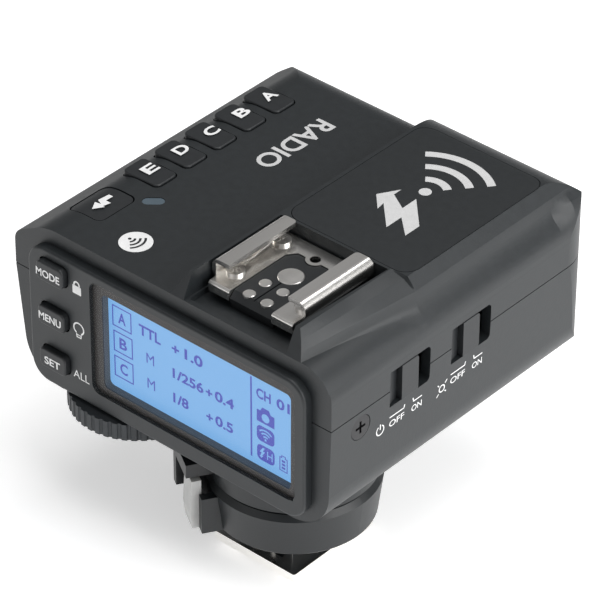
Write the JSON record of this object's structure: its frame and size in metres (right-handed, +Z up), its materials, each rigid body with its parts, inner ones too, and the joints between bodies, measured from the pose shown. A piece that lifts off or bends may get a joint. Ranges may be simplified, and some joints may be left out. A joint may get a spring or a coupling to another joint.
{
  "type": "wireless flash trigger",
  "caption": "Wireless flash trigger with a slanted-edge housing, rear display and keys, pass-through hot shoe, side switches, select dial and locking foot.",
  "frame": {"origin": "middle of the foot's underside, on the lock ring's axis", "axes": "+X towards the side with the slide switches, +Y forward, away from the display, in the direction the foot slides into a camera's shoe, +Z up"},
  "size_m": [0.0716, 0.0734, 0.06],
  "materials": {
    "housing_plastic": "fine-textured dark grey moulded plastic",
    "key_plastic": "satin black key plastic",
    "panel_plastic": "very fine satin black panel",
    "fascia_plastic": "satin dark grey plastic",
    "mask_ink": "warm dark grey printed border under gloss",
    "clear_window": "clear hard-coated window",
    "well_plastic": "light grey moulded display surround",
    "lcd_glass": "blue backlit display",
    "backlight_plastic": "white light guide",
    "shoe_nickel": "satin nickel-plated steel",
    "contact_nickel": "turned nickel contacts",
    "contact_plastic": "black contact block",
    "screw_steel": "black oxide screws",
    "bright_screw": "zinc-plated screws",
    "ring_plastic": "black satin lock ring",
    "lever_plastic": "light grey lever",
    "foot_metal": "bright polished foot plate",
    "foot_plastic": "black foot block",
    "dial_rubber": "toothed black dial",
    "light_lens": "frosted grey-blue lens",
    "lamp_red": "dark red window",
    "board_green": "soldered circuit board",
    "component_plastic": "electronic parts",
    "radio_can": "tinned steel can",
    "cell_sleeve": "plain cell sleeve",
    "terminal_metal": "nickel-plated spring strip",
    "cradle_plastic": "black cradle",
    "antenna_ceramic": "white ceramic antenna"
  },
  "bodies": {
    "root": {"antenna": "antenna_ceramic", "backlight": "backlight_plastic", "battery_cells": "cell_sleeve", "battery_cradle": "cradle_plastic", "battery_terminals": "terminal_metal", "case_screws": "screw_steel", "centre_contact": "contact_nickel", "collar": "ring_plastic", "contact_block": "contact_plastic", "dial_encoder": "component_plastic", "display_lens": "clear_window", "display_well": "well_plastic", "door_hinge_pin": "bright_screw", "focus_lamp": "lamp_red", "focus_lamp_window": "lamp_red", "foot_block": "foot_plastic", "foot_plate": "foot_metal", "foot_screws": "bright_screw", "key_board": "board_green", "key_switches": "component_plastic", "lcd_panel": "lcd_glass", "lens_mask": "mask_ink", "lever_guard": "foot_plastic", "lower_shell": "housing_plastic", "main_board": "board_green", "name_panel": "panel_plastic", "radio_module": "radio_can", "rear_fascia": "fascia_plastic", "shoe_bracket": "shoe_nickel", "shoe_screws": "bright_screw", "shoe_springs": "shoe_nickel", "side_screw": "screw_steel", "signal_contacts": "contact_nickel", "slide_switches": "component_plastic", "status_light": "light_lens", "sync_socket": "contact_nickel", "upper_shell": "housing_plastic", "usb_socket": "contact_nickel"},
    "group_key_a": {"group_key_a": "key_plastic"},
    "group_key_b": {"group_key_b": "key_plastic"},
    "group_key_c": {"group_key_c": "key_plastic"},
    "group_key_d": {"group_key_d": "key_plastic"},
    "group_key_e": {"group_key_e": "key_plastic"},
    "test_key": {"test_key": "key_plastic"},
    "mode_key": {"mode_key": "key_plastic"},
    "menu_key": {"menu_key": "key_plastic"},
    "set_key": {"set_key": "key_plastic"},
    "power_slider": {"power_slider": "key_plastic"},
    "lamp_slider": {"lamp_slider": "key_plastic"},
    "select_dial": {"select_dial": "dial_rubber"},
    "lock_ring": {"lock_ring": "ring_plastic", "lever_pin": "bright_screw"},
    "release_lever": {"release_lever": "lever_plastic"},
    "clamp_plate": {"clamp_plate": "ring_plastic"},
    "locking_pin": {"locking_pin": "contact_nickel"},
    "foot_contact_pins": {"foot_contact_pins": "contact_nickel"},
    "battery_door": {"battery_door": "housing_plastic", "door_contact": "terminal_metal"}
  },
  "joints": [
    {"name": "group_key_a_press", "type": "slide", "parent": "root", "child": "group_key_a", "axis": [0, 0, -1], "range_m": [0, 0.0005], "stiffness_N_per_m": 900, "springref_m": -0.0001},
    {"name": "group_key_b_press", "type": "slide", "parent": "root", "child": "group_key_b", "axis": [0, 0, -1], "range_m": [0, 0.0005], "stiffness_N_per_m": 900, "springref_m": -0.0001},
    {"name": "group_key_c_press", "type": "slide", "parent": "root", "child": "group_key_c", "axis": [0, 0, -1], "range_m": [0, 0.0005], "stiffness_N_per_m": 900, "springref_m": -0.0001},
    {"name": "group_key_d_press", "type": "slide", "parent": "root", "child": "group_key_d", "axis": [0, 0, -1], "range_m": [0, 0.0005], "stiffness_N_per_m": 900, "springref_m": -0.0001},
    {"name": "group_key_e_press", "type": "slide", "parent": "root", "child": "group_key_e", "axis": [0, 0, -1], "range_m": [0, 0.0005], "stiffness_N_per_m": 900, "springref_m": -0.0001},
    {"name": "test_key_press", "type": "slide", "parent": "root", "child": "test_key", "axis": [0, 0, -1], "range_m": [0, 0.0005], "stiffness_N_per_m": 900, "springref_m": -0.0001},
    {"name": "mode_key_press", "type": "slide", "parent": "root", "child": "mode_key", "axis": [0, 1, 0], "range_m": [0, 0.0005], "stiffness_N_per_m": 900, "springref_m": -0.0001},
    {"name": "menu_key_press", "type": "slide", "parent": "root", "child": "menu_key", "axis": [0, 1, 0], "range_m": [0, 0.0005], "stiffness_N_per_m": 900, "springref_m": -0.0001},
    {"name": "set_key_press", "type": "slide", "parent": "root", "child": "set_key", "axis": [0, 1, 0], "range_m": [0, 0.0005], "stiffness_N_per_m": 900, "springref_m": -0.0001},
    {"name": "power_slide", "type": "slide", "parent": "root", "child": "power_slider", "axis": [0, 1, 0], "range_m": [0, 0.0025]},
    {"name": "lamp_slide", "type": "slide", "parent": "root", "child": "lamp_slider", "axis": [0, 1, 0], "range_m": [0, 0.0025]},
    {"name": "dial_turn", "type": "hinge", "parent": "root", "child": "select_dial", "pos_m": [-0.03, -0.0066, 0.0196], "axis": [0, 0, 1], "continuous": true},
    {"name": "ring_turn", "type": "hinge", "parent": "root", "child": "lock_ring", "pos_m": [0, 0, 0.011], "axis": [0, 0, 1], "range_deg": [0, 45]},
    {"name": "lever_press", "type": "hinge", "parent": "lock_ring", "child": "release_lever", "pos_m": [-0.00896, -0.01433, 0.0102], "axis": [0.848, -0.5299, 0], "range_deg": [0, 7], "stiffness_Nm_per_rad": 0.02, "springref_deg": -1.15},
    {"name": "clamp_drop", "type": "slide", "parent": "root", "child": "clamp_plate", "axis": [0, 0, -1], "range_m": [0, 0.001]},
    {"name": "locking_pin_lift", "type": "slide", "parent": "root", "child": "locking_pin", "axis": [0, 0, 1], "range_m": [0, 0.0016]},
    {"name": "contact_pins_press", "type": "slide", "parent": "root", "child": "foot_contact_pins", "axis": [0, 0, 1], "range_m": [0, 0.0005], "stiffness_N_per_m": 600, "springref_m": -0.0001},
    {"name": "battery_door_swing", "type": "hinge", "parent": "root", "child": "battery_door", "pos_m": [-0.04855, 0.0268, 0.04], "axis": [0, 1, 0], "range_deg": [0, 90]}
  ],
  "couplings": [
    {"joint": "clamp_drop", "follows": "ring_turn", "m_per_rad": 0.0012732},
    {"joint": "locking_pin_lift", "follows": "ring_turn", "m_per_rad": 0.0020372}
  ]
}
